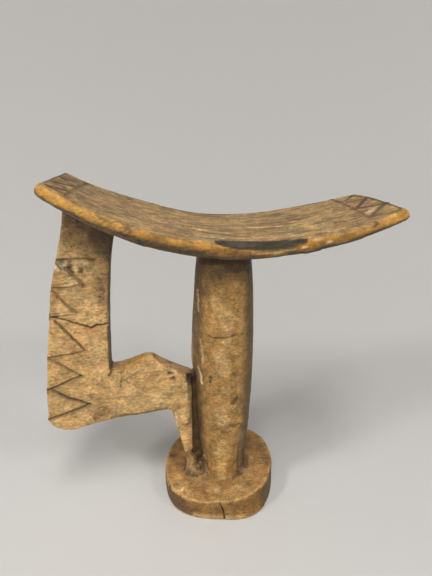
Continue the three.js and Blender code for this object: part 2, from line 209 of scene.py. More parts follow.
# Patches on the plate's top, as X and Y.
SEAT_STAINS = [
    # Streaks and patches along the middle.
    ([[-14.4, -9.0], [-4.5, -10.0], [2.0, -13.9]], 1.0, "cream", 0.50),
    ([[-12.4, -13.1], [-0.5, -17.0], [9.4, -21.8]], 2.0, "rust", 0.75),
    ([[-19.3, -20.4], [-7.7, -23.0], [5.1, -26.0], [20, -26.2]], 0.9, "pale", 0.70),
    ([[-16, -25.5], [-8, -27.5]], 2.2, "ash", 0.60),
    ([[13.7, -1.4], [37.4, -5.4]], 1.1, "pale", 0.65),
    ([[38.3, 8.3], [42, 4]], 3.2, "dirt", 0.50),
    ([[45.9, -20.2], [47.5, -14]], 3.0, "grey", 0.50),
    ([[35, -31.0], [49, -31.2]], 1.6, "gold", 0.60),
    ([[-30, -31.0], [-20, -31.6], [-12, -32.6]], 1.8, "gold", 0.75),
    # The right end.
    ([[73, -3.5], [79.6, -6.8], [71.6, -14.8]], 2.6, "pale", 0.60),
    ([[72.6, 15.6], [78.2, 19.8]], 0.9, "cream", 0.60),
    ([[77, 2], [81, 12]], 4.5, "plum", 0.55),
    ([[70, -24.5], [75.4, -24.4]], 2.0, "grey", 0.60),
    ([[69.0, -28.2], [71.2, -30.2]], 1.8, "cut", 0.90),
    # Dark lines along the right end's edge: painted shade and dirt.
    ([[79.5, 22.5], [83.6, 12]], 1.5, "dirt", 0.80),
    ([[83.8, 11], [84.6, 2], [84.8, -6]], 2.0, "cut", 0.90),
    ([[84.8, -6], [84.6, -24]], 1.3, "dirt", 0.85),
    ([[83.2, -25.6], [85, -25.2]], 1.1, "cut", 0.90),
    # The left end.
    ([[-77, 18], [-77.6, -20]], 3.6, "plum", 0.40),
    ([[-82, -28.2], [-73.2, -29.2], [-62, -30.6], [-50, -32.4]], 1.5, "gold", 0.80),
    # A dark line along the left end's edge, of painted shade and dirt, then two small cuts.
    ([[-83, -18], [-82, 4], [-80.6, 24]], 1.1, "dirt", 0.70),
    ([[-74.4, -26.8], [-72.6, -26.4]], 1.0, "cut", 0.80),
    ([[-51.4, -32.4], [-46.6, -31.8]], 1.2, "cut", 0.75),
    # Painted shade and dirt along the back edge.
    ([[-80, 25.8], [-60, 28.8], [-40, 31.0], [-20, 32.3]], 1.6, "dirt", 0.75),
    ([[-20, 32.3], [0, 32.7], [20, 32.3], [40, 31.0], [58, 29.0]], 1.2, "dirt", 0.50),
    ([[58, 29.0], [70, 27.4], [77, 26.2]], 1.5, "dirt", 0.80),
]
# Patches along the plate's front edge, as X and the depth below the top.
RIM_STAINS = [
    ([[-60.5, 0.6], [-58.0, 1.2], [-53.6, 1.6]], 0.9, "olive", 0.80),
    ([[-37.5, 0.6], [-31.0, 0.9]], 0.7, "olive", 0.65),
    ([[-24, 0.6], [-19, 0.9]], 0.8, "olive", 0.55),
    ([[-27.5, 4.2], [-20, 5.0]], 1.2, "olive", 0.40),
    ([[-44, 4.0], [-39, 4.4]], 1.1, "olive", 0.45),
    ([[-12, 4.5], [6, 6.2], [24, 6.0]], 1.6, "red", 0.45),
    ([[-8, 7.4], [30, 6.8]], 1.2, "olive", 0.45),
    ([[33, 3.4], [34.4, 3.3]], 0.9, "cream", 0.60),
    ([[45, 3.6], [46.8, 3.4]], 1.0, "cream", 0.75),
    ([[38.5, 0.9], [42, 0.7]], 1.0, "pale", 0.50),
    ([[8, 4.2], [18, 4.6], [29, 4.0]], 0.7, "pale", 0.60),
    ([[-72, 6.2], [-58, 6.4], [-46, 6.6]], 1.5, "rust", 0.55),
    ([[50, 0.2], [60, 0.6], [67, 0.9]], 1.7, "top", 0.80),
    ([[60, 3.0], [66, 2.8]], 1.2, "gold", 0.60),
    ([[77, 2.0], [84, 1.8]], 2.2, "gold", 0.85),
    ([[-84, 3.0], [-74, 3.2]], 2.2, "gold", 0.70),
]
# Patches on the column, as the angle in degrees and Z.
COLUMN_STAINS = [
    # Painted highlights along the dull left side's ridges, and a grey patch.
    ([[-158, 137], [-153.5, 132], [-154, 126]], 1.5, "cream", 0.38),
    ([[-160, 114], [-158, 84]], 5.0, "grey", 0.20),
    ([[-142.6, 109.5], [-137, 99.6], [-138, 96]], 1.0, "cream", 0.34),
    ([[-147.2, 90.8], [-142.6, 86.9], [-141.8, 81.6]], 1.5, "cream", 0.70),
    # Two small holes, specks and the knot.
    ([[-119.9, 87.6], [-119.2, 87.4]], 1.3, "cut", 0.95),
    ([[-122.1, 85.1], [-121.3, 85.3]], 1.3, "cut", 0.95),
    ([[-78.2, 90.2], [-77.0, 90.0]], 1.4, "dirt", 0.75),
    ([[-76.2, 87.6], [-75.8, 87.4]], 0.9, "dirt", 0.50),
    ([[-79.0, 71.2], [-76.5, 70.2], [-72.0, 73.0]], 2.2, "olive", 0.90),
    ([[-78.4, 70.4], [-75.4, 71.6], [-73.0, 73.4]], 1.6, "cut", 0.85),
    ([[-82, 68.6], [-76, 67.2], [-71, 68.4]], 1.0, "cream", 0.25),
    ([[-96.6, 110.3], [-95.8, 110.0]], 0.9, "cream", 0.75),
    # The crack, and the scar below it.
    ([[-113.1, 112.7], [-104, 112.8], [-96, 113]], 0.55, "cut", 0.85),
    ([[-124.8, 113.4], [-122.6, 113.0]], 1.1, "cut", 0.65),
    ([[-80.4, 114.2], [-77.4, 114.5]], 1.4, "cut", 0.70),
    ([[-107.9, 51.9], [-99.7, 53.2], [-87.4, 54.1], [-74.5, 54.3], [-59.5, 53.2]], 0.7, "cut", 0.70),
    ([[-104, 50.7], [-95.4, 49.3], [-87, 49.3], [-80.7, 50.9]], 0.7, "cut", 0.60),
    ([[-102, 51.4], [-90, 51.6]], 1.5, "red", 0.50),
    # Pale patches down the rubbed front.
    ([[-112, 133], [-92, 120]], 5.0, "pale", 0.30),
    ([[-108, 104], [-96, 92]], 5.0, "pale", 0.35),
    ([[-104, 66], [-96, 56]], 5.0, "pale", 0.40),
    ([[-100, 40], [-99, 17]], 4.6, "bare", 0.50),
    # Painted shade below the plate, and a dark mark.
    ([[-155, 153.6], [-106, 155.6], [-64, 155.0], [-30, 152.8]], 2.6, "soot", 0.90),
    ([[-90, 152.4], [-64, 151.0], [-40, 149.6]], 3.4, "soot", 0.60),
    ([[-112, 150.5], [-104, 147]], 1.6, "cut", 0.40),
    # Painted shade on the flats at the lower end, with a pale mark.
    ([[-60, 34], [-54, 17]], 1.8, "dirt", 0.75),
    ([[-38, 30], [-33, 16]], 2.8, "dirt", 0.85),
    ([[-126, 38], [-125, 17]], 1.6, "dirt", 0.28),
    ([[-72, 38], [-73, 17]], 1.8, "dirt", 0.38),
    ([[-50, 44], [-46, 16]], 3.6, "plum", 0.55),
    ([[-150, 40], [-145, 17]], 4.0, "plum", 0.55),
    ([[-147, 25.6], [-141, 22.6]], 1.5, "pale", 0.55),
    ([[-141, 21.2], [-134, 18.4]], 2.4, "dirt", 0.70),
]
# Patches on the foot's top, as X and Y.
FOOT_STAINS = [
    ([[-28.9, -22.2], [-28.0, -21.4]], 1.5, "cream", 0.60),
    ([[-30, 8], [-27, -4]], 6.0, "dirt", 0.50),
    ([[20, 14], [28, 0]], 8.0, "dirt", 0.45),
    ([[-21, -13], [-14, -18]], 2.6, "grey", 0.35),
    ([[4.8, -16.8], [10.8, -13.6]], 1.6, "dirt", 0.85),
    ([[13.8, -9.5], [17.0, 0.5]], 1.9, "dirt", 0.75),
    ([[-12, -17.4], [-2, -18.8], [4, -18.0]], 1.0, "dirt", 0.30),
    ([[-30, -12], [-24, -22]], 3.4, "bare", 0.35),
    ([[22, -16], [29, -6]], 4.0, "red", 0.35),
    ([[-6, -24], [10, -26]], 4.0, "pale", 0.20),
]
# Patches on the foot's side, as the angle in degrees and Z.
FOOT_SIDE_STAINS = [
    ([[-122, 2.2], [-101, 2.6], [-84, 2.2], [-72, 2.0]], 2.2, "pale", 0.45),
]
# Patches of colour in space: centre, reach along each axis, colour and share.
SPOTS = [
    # Painted highlights on the crosspiece's top, where the plate shades it.
    ((-54.0, -1.0, 94.0), (11.0, 8.0, 5.0), "gold", 0.70),
    ((-33.0, 0.0, 94.0), (8.0, 8.0, 6.0), "bare", 0.50),
    # Painted shade in the crosspiece's corners by the arm and the column, and on the arm's top below the
    # plate.
    ((-19.6, -5.5, 82.6), (4.2, 5.0, 6.0), "soot", 0.95),
    ((-62.0, -2.0, 94.5), (2.6, 8.0, 4.0), "soot", 0.55),
    ((-60.0, -7.0, 168.0), (10.0, 5.0, 14.0), "soot", 0.62),
    # A painted highlight on the crosspiece's peak facet, then dark pits on the plate's ends.
    ((-43.9, -5.6, 96.6), (2.2, 3.4, 3.0), "cream", 0.95),
    ((-86.2, -25.0, 194.2), (2.4, 6.0, 2.4), "cut", 0.95),
    ((70.3, -29.6, 177.2), (2.6, 2.6, 2.4), "cut", 0.90),
]
# Pits and chips: centre, reach along each axis, and depth.
CHIPS = [
    ((-82.3, -7.4, 155.2), (2.2, 3.0, 1.7), 0.7),
    ((-79.4, -7.4, 152.8), (1.3, 3.0, 1.1), 0.7),
    ((-73.8, -7.4, 150.4), (0.9, 3.0, 1.2), 0.8),
    ((-64.6, -7.4, 140.4), (1.2, 3.0, 1.0), 0.6),
    ((-65.8, -7.4, 136.4), (1.2, 3.0, 0.9), 0.5),
    ((-71.2, -7.4, 118.7), (1.8, 3.0, 0.9), 0.8),
    ((-31.6, -7.2, 87.2), (1.6, 3.0, 1.0), 0.9),
    ((-29.6, -7.2, 83.8), (1.8, 3.0, 1.3), 0.7),
    ((-20.4, -7.2, 82.2), (2.4, 4.0, 3.2), 1.1),
    ((-20.4, -7.2, 70.0), (1.2, 4.0, 3.0), 0.7),
    ((70.1, -29.6, 177.0), (2.2, 2.2, 2.0), 0.9),
    ((-8.8, -14.6, 87.2), (0.9, 1.6, 0.8), 0.9),
    ((-9.1, -14.6, 85.1), (0.9, 1.6, 0.8), 0.9),
    ((-85.4, -25.0, 194.9), (1.5, 2.0, 1.5), 1.0),
    ((-28.4, -21.7, 14.4), (2.0, 2.0, 1.6), 0.5),
    ((-30.6, 8.0, 13.8), (3.0, 3.0, 2.0), 0.5),
]
# The stub below the spike, left rough from the knife, and its dirt: centre and reach.
STUB = ((-19.0, -7.0, 20.0), (8.5, 7.0, 12.0))
STUB_DIRT = ((-18.5, -6.5, 21.0), (8.0, 7.5, 12.0))
# Painted shade in the groove between the spike and the column.
GROOVE_SHADE = ((-18.2, -3.0, 52.0), (3.4, 7.0, 45.0))
# Tool marks on each zone: the knife's facets and the finer unevenness, as height, size and seed.
# The underside has facets only.
TOOL_MARKS = {
    "board": ((0.22, (10, 9, 8), 53), (0.07, 3, 59)),
    "column": ((0.30, (7, 7, 24), 54), (0.06, 3, 60)),
    "foot_top": ((0.22, (9, 9, 9), 55), (0.08, 3, 61)),
    "foot_side": ((0.30, (9, 9, 14), 56), (0.08, (3, 3, 4), 62)),
    "rim": ((0.28, (10, 7, 6), 58), (0.15, 2.5, 63)),
}
UNDER_MARKS = (0.55, (13, 9, 8), 57)
# The raised grain on the plate's top, as height, size and seed.
TOP_GRAIN = ((0.10, (34, 2.2, 8), 64), (0.07, (18, 1.3, 6), 65))
# The charred facet on the plate's front edge: at each X, its edge on the top and its lower edge.
BURN = {
    "x": (-9.5, -7.0, 0.0, 13.0, 20.0, 25.0, 30.0, 33.5, 35.5),
    "upper_y": (-28.0, -27.6, -27.2, -27.6, -27.4, -28.0, -28.8, -29.8, -31.4),
    "lower_depth": (0.4, 0.9, 2.1, 2.9, 3.3, 3.3, 2.6, 1.9, 1.0),
}

# Colours of the wood, as linear red, green and blue.
WOODS = {
    "arm": (0.475, 0.293, 0.118),
    "column": (0.342, 0.193, 0.060),
    "top": (0.305, 0.202, 0.080),
    "gold": (0.465, 0.245, 0.052),
    "rim": (0.285, 0.131, 0.015),
    # The underside's dark brown is partly painted shade.
    "under": (0.095, 0.060, 0.032),
    "foot_top": (0.33, 0.182, 0.062),
    "foot_side": (0.266, 0.134, 0.032),
    "bare": (0.62, 0.39, 0.155),
    "pale": (0.62, 0.42, 0.20),
    "cream": (0.80, 0.60, 0.36),
    # Dirt, and the dark of painted shade.
    "dirt": (0.085, 0.050, 0.022),
    "cut": (0.085, 0.047, 0.020),
    # The near black of painted shade in deep corners.
    "soot": (0.026, 0.016, 0.009),
    "char": (0.022, 0.021, 0.013),
    "char_sheen": (0.085, 0.086, 0.066),
    "red": (0.29, 0.120, 0.045),
    "rust": (0.19, 0.100, 0.048),
    "grey": (0.245, 0.190, 0.120),
    "ash": (0.30, 0.26, 0.16),
    "olive": (0.12, 0.085, 0.018),
    "plum": (0.20, 0.130, 0.085),
}


def seat_height(x):
    """The height of the plate's top along its middle."""
    away = np.abs(x - SEAT["low_x"])
    left = LEFT_SWEEP["rise"] * (away / LEFT_SWEEP["reach"]) ** LEFT_SWEEP["power"]
    right = RIGHT_SWEEP["rise"] * (away / RIGHT_SWEEP["reach"]) ** RIGHT_SWEEP["power"]
    return SEAT["low_z"] + np.where(x < SEAT["low_x"], left, right)


def half_width(x):
    return PLATE["half_width"] - PLATE["end_narrowing"] * (x / PLATE["half_length"]) ** 2


def back_rise(x, y):
    """How far the back of the plate's top stands above its middle."""
    rise = sum(high * np.exp(-((x - place) / spread) ** 2) for place, spread, high in BACK_RISES)
    return rise * np.clip(y / half_width(x), 0, 1) ** 2


def seat_slope(x):
    return (seat_height(x + 0.01) - seat_height(x - 0.01)) / 0.02


def column_radius(z):
    shrink = np.where(z < COLUMN["fullest_z"], COLUMN["below"], COLUMN["above"])
    return COLUMN["radius"] - shrink * (z - COLUMN["fullest_z"]) ** 2


def step(low, high, value):
    """A smooth step: 0 up to the low value, and 1 from the high one."""
    share = np.clip((value - low) / (high - low), 0, 1)
    return share * share * (3 - 2 * share)


def hashed(cell, seed):
    """A steady random number from 0 to 1 for each whole-numbered cell."""
    keys = cell.astype(np.uint64) * np.array([73856093, 19349663, 83492791], np.uint64)
    mixed = keys[:, 0] ^ keys[:, 1] ^ keys[:, 2] ^ np.uint64(seed * 2654435761)
    for shift, factor in ((33, 0xFF51AFD7ED558CCD), (33, 0xC4CEB9FE1A85EC53)):
        mixed = (mixed ^ (mixed >> np.uint64(shift))) * np.uint64(factor)
    return ((mixed >> np.uint64(40)).astype(float)) / 2 ** 24


def noise(points, size, seed):
    """Smooth lumps from -1 to 1. The size is one length, or one for each axis."""
    grid = points / np.asarray(size, float)
    cell = np.floor(grid).astype(np.int64)
    share = grid - cell
    share = share * share * (3 - 2 * share)
    total = np.zeros(len(points))
    for corner in itertools.product((0, 1), repeat=3):
        weight = np.prod(np.where(corner, share, 1 - share), axis=1)
        total += weight * hashed(cell + corner, seed)
    return 2 * total - 1


def rough(points, size, seed, octaves=3):
    """Noise with finer lumps on coarser ones."""
    size = np.asarray(size, float)
    total = sum(noise(points, size / 2 ** n, seed + n) / 2 ** n for n in range(octaves))
    return total / (2 - 0.5 ** (octaves - 1))


def facets(points, size, seed):
    """Flat tool marks: each cell of the surface is a little plane with its own tilt, from -1 to 1."""
    grid = points / np.asarray(size, float)
    cell = np.floor(grid).astype(np.int64)
    nearest = np.full(len(points), np.inf)
    height = np.zeros(len(points))
    for corner in itertools.product((-1, 0, 1), repeat=3):
        key = cell + corner
        jitter = np.stack([hashed(key, seed + axis) for axis in range(3)], axis=1)
        away = grid - (key + jitter)
        distance = (away ** 2).sum(axis=1)
        tilt = np.stack([hashed(key, seed + 3 + axis) for axis in range(3)], axis=1) - 0.5
        plane = (away * tilt).sum(axis=1) * 1.6 + (hashed(key, seed + 6) - 0.5) * 0.5
        closer = distance < nearest
        nearest = np.where(closer, distance, nearest)
        height = np.where(closer, plane, height)
    return height


def line_distance(coords, line):
    """The distance in a plane from each point to a line of straight stretches."""
    nearest = np.full(len(coords), np.inf)
    for start, end in zip(np.array(line[:-1], float), np.array(line[1:], float)):
        run = end - start
        share = np.clip((coords - start) @ run / (run @ run), 0, 1)
        away = coords - start - share[:, None] * run
        nearest = np.minimum(nearest, np.hypot(away[:, 0], away[:, 1]))
    return nearest


# One side of the carving: flat coordinates on it, the depth below it, the way in and what is near.
Face = namedtuple("Face", "coords depth inward near")


def board_face(points):
    inward = np.tile([0.0, 1.0, 0.0], (len(points), 1))
    depth = points[:, 1] - BOARD_FRONT
    near = (depth < 3) & (depth > -1.5) & (points[:, 0] < BOARD_RIGHT + 1) & (points[:, 2] > 16)
    return Face(points[:, [0, 2]], depth, inward, near)


def seat_face(points):
    slope = seat_slope(points[:, 0])
    run = np.hypot(1, slope)
    inward = np.stack([slope / run, np.zeros(len(points)), -1 / run], axis=1)
    top = seat_height(points[:, 0]) + back_rise(points[:, 0], points[:, 1])
    depth = (top - points[:, 2]) / run
    return Face(points[:, :2], depth, inward, (depth < 2.5) & (depth > -1.5))


def rim_face(points):
    """The plate's front edge, as X and the depth below the top."""
    seat = seat_face(points)
    coords = np.stack([points[:, 0], seat.depth], axis=1)
    inward = np.tile([0.0, 1.0, 0.0], (len(points), 1))
    in_front = points[:, 1] < 2.5 - half_width(points[:, 0])
    return Face(coords, seat.depth, inward, in_front & (seat.depth < 14) & (seat.depth > -1))


def round_face(points, x, y, radius, fullest, low, high):
    """A round side, as millimetres round its fullest circle and Z."""
    across = points[:, :2] - [x, y]
    reach = np.hypot(across[:, 0], across[:, 1])
    inward = np.zeros((len(points), 3))
    inward[:, :2] = -across / np.maximum(reach, 1e-6)[:, None]
    depth = radius - reach
    run = np.arctan2(across[:, 1], across[:, 0]) * fullest
    near = (np.abs(depth) < 4) & (points[:, 2] > low) & (points[:, 2] < high)
    return Face(np.stack([run, points[:, 2]], axis=1), depth, inward, near)


def column_face(points):
    radius = column_radius(points[:, 2])
    return round_face(points, 0, 0, radius, COLUMN["radius"], FOOT["height"], COLUMN["top"])


def foot_face(points):
    radius = FOOT["radius"]
    return round_face(points, FOOT["x"], FOOT["y"], radius, radius, -1, FOOT["height"] + 1)


def foot_top_face(points):
    inward = np.tile([0.0, 0.0, -1.0], (len(points), 1))
    depth = FOOT["height"] - points[:, 2]
    return Face(points[:, :2], depth, inward, np.abs(depth) < 2.5)


def around(radius, line):
    """A line given in degrees and Z, in millimetres round a circle."""
    return [[math.radians(angle) * radius, z] for angle, z in line]


def placed(tables):
    """Every entry with its face maker, and with lines given in degrees turned to millimetres."""
    made = []
    for face_of, radius, table in tables:
        for line, *rest in table:
            made.append((face_of, around(radius, line) if radius else line, *rest))
    return made


def all_cuts():
    """Every incised line and crack: (face maker, line, half width, depth, darkness)."""
    return placed([
        (board_face, None, ARM_CUTS + ARM_CRACKS),
        (seat_face, None, LEFT_CUTS + RIGHT_CUTS),
        (column_face, COLUMN["radius"], COLUMN_CRACKS),
        (foot_face, FOOT["radius"], FOOT_CRACKS),
    ])


def all_stains():
    """Every patch of colour: (face maker, line, half width, colour, share)."""
    return placed([
        (board_face, None, BOARD_STAINS),
        (seat_face, None, SEAT_STAINS),
        (rim_face, None, RIM_STAINS),
        (foot_top_face, None, FOOT_STAINS),
        (column_face, COLUMN["radius"], COLUMN_STAINS),
        (foot_face, FOOT["radius"], FOOT_SIDE_STAINS),
    ])


def make_camera():
    data = bpy.data.cameras.new("camera")
    data.sensor_fit = "AUTO"
    data.sensor_width = CAMERA["sensor"]
    data.lens = CAMERA["lens"]
    camera = bpy.data.objects.new("camera", data)
    bpy.context.scene.collection.objects.link(camera)
    camera.location = CAMERA["place"]
    camera.rotation_euler = (math.pi / 2 - CAMERA["pitch"], 0, -CAMERA["turn"])
    bpy.context.scene.camera = camera


def make_sweep():
    """The studio floor and wall: rings of points joined by quads."""
    steps, sides = SWEEP["steps"], SWEEP["sides"]
    bend = SWEEP["wall_radius"] - SWEEP["floor_radius"]
    profile = [(SWEEP["floor_radius"] * i / 4, 0.0) for i in range(1, 5)]
    for i in range(1, steps + 1):
        angle = math.pi / 2 * i / steps
        profile.append((SWEEP["floor_radius"] + bend * math.sin(angle), bend * (1 - math.cos(angle))))
    profile.append((SWEEP["wall_radius"], SWEEP["wall_height"] + bend))
    verts = [(0, 0, 0)]
    faces = []
    for ring, (radius, height) in enumerate(profile):
        for side in range(sides):
            turn = 2 * math.pi * side / sides
            verts.append((radius * math.cos(turn), radius * math.sin(turn), height))
            after = (side + 1) % sides
            if ring == 0:
                faces.append((0, 1 + side, 1 + after))
            else:
                low, high = 1 + (ring - 1) * sides, 1 + ring * sides
                faces.append((low + side, high + side, high + after, low + after))
    mesh = bpy.data.meshes.new("sweep")
    mesh.from_pydata(verts, [], faces)
    mesh.polygons.foreach_set("use_smooth", [True] * len(mesh.polygons))
    sweep = bpy.data.objects.new("sweep", mesh)
    bpy.context.scene.collection.objects.link(sweep)
    paper = bpy.data.materials.new("sweep_paper")
    paper.use_nodes = True
    shader = paper.node_tree.nodes["Principled BSDF"]
    shader.inputs["Base Color"].default_value = (*SWEEP_COLOUR, 1)
    shader.inputs["Roughness"].default_value = 0.9
    shader.inputs["Specular IOR Level"].default_value = 0.15
    mesh.materials.append(paper)


def make_lights():
    for name, (place, size, power, colour) in LIGHTS.items():
        data = bpy.data.lights.new(name, "AREA")
        data.shape = "DISK"
        data.size = size
        data.energy = power
        data.color = colour
        light = bpy.data.objects.new(name, data)
        bpy.context.scene.collection.objects.link(light)
        light.location = place
        away = Vector(place) - LIGHT_TARGET
        light.rotation_euler = away.to_track_quat("Z", "Y").to_euler()
        light.visible_camera = False
    world = bpy.data.worlds.new("studio")
    world.use_nodes = True
    background = world.node_tree.nodes["Background"]
    background.inputs["Color"].default_value = (*WORLD_COLOUR, 1)
    background.inputs["Strength"].default_value = WORLD_STRENGTH
    bpy.context.scene.world = world
    bpy.context.scene.view_settings.view_transform = "Standard"


def read(items, field, width, kind):
    flat = np.empty(len(items) * width, kind)
    items.foreach_get(field, flat)
    return flat.reshape(-1, width)


def read_points(mesh):
    return read(mesh.vertices, "co", 3, np.float32).astype(float) / MM


def write_points(mesh, points):
    mesh.vertices.foreach_set("co", (points * MM).astype(np.float32).ravel())
    mesh.update()


def read_normals(mesh):
    return read(mesh.vertex_normals, "vector", 3, np.float32).astype(float)


def read_edges(mesh):
    return read(mesh.edges, "vertices", 2, np.int32)


def smoothed(values, edges, rounds):
    """Averages the values at each point with those of its neighbours."""
    ends = np.concatenate([edges[:, 0], edges[:, 1]])
    others = np.concatenate([edges[:, 1], edges[:, 0]])
    count = np.bincount(ends, minlength=len(values))[:, None]
    for _ in range(rounds):
        around_each = np.stack([np.bincount(ends, weights=values[others, k], minlength=len(values))
                                for k in range(values.shape[1])], axis=1)
        values = 0.5 * values + 0.5 * around_each / count
    return values


def faired(points, edges, rounds):
    """Evens out small steps and keeps the size: each smoothing is followed by its opposite."""
    for _ in range(rounds):
        points = smoothed(points, edges, 1)
        points = points + 1.04 * (points - smoothed(points, edges, 1))
    return points


def even_mesh():
    """A copy of the frame's solid with an even grid of small faces, finer beside the cuts."""
    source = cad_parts["headrest"].data.copy()
    work = bmesh.new()
    work.from_mesh(source)
    bmesh.ops.remove_doubles(work, verts=work.verts, dist=0.001 * MM)
    work.to_mesh(source)
    work.free()
    rough_copy = bpy.data.objects.new("rough_copy", source)
    bpy.context.scene.collection.objects.link(rough_copy)
    remesh = rough_copy.modifiers.new("even", "REMESH")
    remesh.mode = "VOXEL"
    remesh.voxel_size = GRID * MM
    evaluated = rough_copy.evaluated_get(bpy.context.evaluated_depsgraph_get())
    mesh = bpy.data.meshes.new_from_object(evaluated)
    bpy.data.objects.remove(rough_copy)
    points = faired(read_points(mesh), read_edges(mesh), 3)
    write_points(mesh, points)
    close = np.zeros(len(points), bool)
    for face_of, line, half, _depth, _dark in all_cuts():
        face = face_of(points)
        close |= face.near & (line_distance(face.coords, line) < half + FINE_REACH)
    work = bmesh.new()
    work.from_mesh(mesh)
    work.verts.ensure_lookup_table()
    chosen = set(np.nonzero(close)[0])
    edges = [e for e in work.edges if e.verts[0].index in chosen and e.verts[1].index in chosen]
    bmesh.ops.subdivide_edges(work, edges=edges, cuts=FINE_CUTS, use_grid_fill=True)
    bmesh.ops.triangulate(work, faces=[f for f in work.faces if len(f.verts) > 4])
    work.to_mesh(mesh)
    work.free()
    return mesh


def plate_depth(points):
    """The plate's own thickness below each point of its top, square to it."""
    x, y = points[:, 0], points[:, 1]
    outward = (x / PLATE["half_length"]) ** 2
    across = np.clip(y / half_width(x), -1, 1)
    bulge = PLATE["bulge"] * (1 - across ** 2) * np.clip(1 - outward, 0, 1)
    return PLATE["thickness"] - PLATE["thinning"] * outward + bulge


def zones(points, normals):
    """The share of each zone at each point, from 0 to 1."""
    x, y, z = points.T
    seat = seat_face(points)
    thick = plate_depth(points)
    high = step(PLATE["lowest_z"], PLATE["lowest_z"] + 3, z)
    plate = high * (1 - step(thick - 0.6, thick + 0.9, seat.depth))
    facing_up = -(normals * seat.inward).sum(axis=1)
    wander = 0.7 * rough(points, (9, 5, 5), 11)
    top = plate * step(0.45, 0.75, facing_up + 0.1 * wander) * (1 - step(1.2, 2.6, seat.depth + wander))
    under = plate * (1 - step(-0.55, -0.10, facing_up + 0.15 * wander)) * step(3, 5, seat.depth)
    bevel = thick - np.interp(x, BEVEL["x"], BEVEL["reach"])
    under = np.maximum(under, plate * step(bevel - 0.5, bevel + 0.4, seat.depth + 0.4 * wander))
    rim = plate * (1 - top) * (1 - under)
    foot = 1 - step(FOOT["height"] + 0.2, FOOT["height"] + 1.4, z)
    foot_top = foot * step(0.5, 0.8, normals[:, 2])
    foot_side = foot * (1 - foot_top)
    board = (1 - plate) * (1 - foot) * (1 - step(BOARD_RIGHT - 0.8, BOARD_RIGHT + 0.8, x))
    column = (1 - plate) * (1 - foot) * (1 - board)
    return {"top": top, "rim": rim, "under": under, "plate": plate, "foot_top": foot_top,
            "foot_side": foot_side, "board": board, "column": column, "seat_depth": seat.depth,
            "below_plate": seat.depth - thick}


def spot(points, centre, reach):
    """1 at the centre, falling to 0 at the reach, which is one length or one for each axis."""
    away = (points - centre) / np.asarray(reach, float)
    return np.clip(1 - (away ** 2).sum(axis=1), 0, 1)


def fill_old_cuts(points, cuts):
    """Levels the coarse cuts that came with the solid, so that the fine ones are cut afresh."""
    for face_of, line, half, _depth, _dark in cuts:
        if face_of is foot_face or face_of is column_face:
            continue
        face = face_of(points)
        inside = face.near & (face.depth > 0.03) & (face.depth < 1.5)
        inside &= line_distance(face.coords, line) < half + 0.5
        points[inside] -= face.inward[inside] * face.depth[inside, None]
    return points


def line_marks(points, cuts):
    """How far each point is pushed in by the cuts, and how dark they are there."""
    push = np.zeros_like(points)
    dark = np.zeros(len(points))
    wobble = np.stack([noise(points, 4, 31), noise(points, 4, 32)], axis=1) * 0.28
    fine = np.stack([noise(points, 1.3, 33), noise(points, 1.3, 34)], axis=1) * 0.16
    strength = np.clip(0.85 + 0.40 * rough(points, 6, 35), 0.6, 1.1)
    for face_of, line, half, depth, darkness in cuts:
        face = face_of(points)
        away = line_distance(face.coords + wobble + fine, line)
        share = np.clip(1 - away / half, 0, 1) * face.near
        push += face.inward * (share * depth * strength)[:, None]
        halo = np.clip(1 - away / (half * 1.7), 0, 1) * face.near
        dark = np.maximum(dark, 0.9 * darkness * strength * np.minimum(1, halo * 1.7))
    return push, dark


def burn_edges(x):
    """The charred facet's edge on the top, as Y, and its lower edge, as a depth, at each X."""
    upper = np.interp(x, BURN["x"], BURN["upper_y"])
    lower = np.interp(x, BURN["x"], BURN["lower_depth"])
    return upper, lower


def burn_share(points):
    """Where the charred facet lies along the front edge."""
    x, y = points[:, 0], points[:, 1]
    depth = seat_face(points).depth
    upper, lower = burn_edges(x)
    ragged = 0.5 * rough(points, (5, 1.5, 1.5), 41)
    share = 1 - step(-0.4, 0.5, y - upper + ragged)
    share *= 1 - step(-0.35, 0.35, depth - lower + ragged)
    left, right = BURN["x"][0], BURN["x"][-1]
    tips = step(left - 0.5, left + 1.5, x) * (1 - step(right - 1, right, x))
    return share * tips * (y < -15)


def burn_cut(points):
    """The depth by which the front edge stands above the charred facet's plane."""
    seat = seat_face(points)
    upper, lower = burn_edges(points[:, 0])
    outward = np.clip((upper - points[:, 1]) / (upper + PLATE["half_width"] + 0.6), 0, 1.3)
    return np.clip(lower * outward - seat.depth, 0, 2.2) * (points[:, 1] < upper)


def tool_marks(points, zone):
    """How far the knife's marks stand out at each point. The stub and the foot beside it are rough."""
    relief = 0.20 * rough(points, 24, 52)
    off_table = step(1.5, 5, points[:, 2])
    for name, ((high, size, seed), (fine_high, fine_size, fine_seed)) in TOOL_MARKS.items():
        marks = high * facets(points, size, seed) + fine_high * rough(points, fine_size, fine_seed)
        relief += zone[name] * off_table * marks
    high, size, seed = UNDER_MARKS
    relief += zone["under"] * high * facets(points, size, seed)
    for high, size, seed in TOP_GRAIN:
        relief += zone["top"] * high * rough(points, size, seed)
    stub = step(0, 0.35, spot(points, *STUB))
    return relief + stub * (1.3 * rough(points, (2.3, 2.3, 3.0), 66) - 0.5)


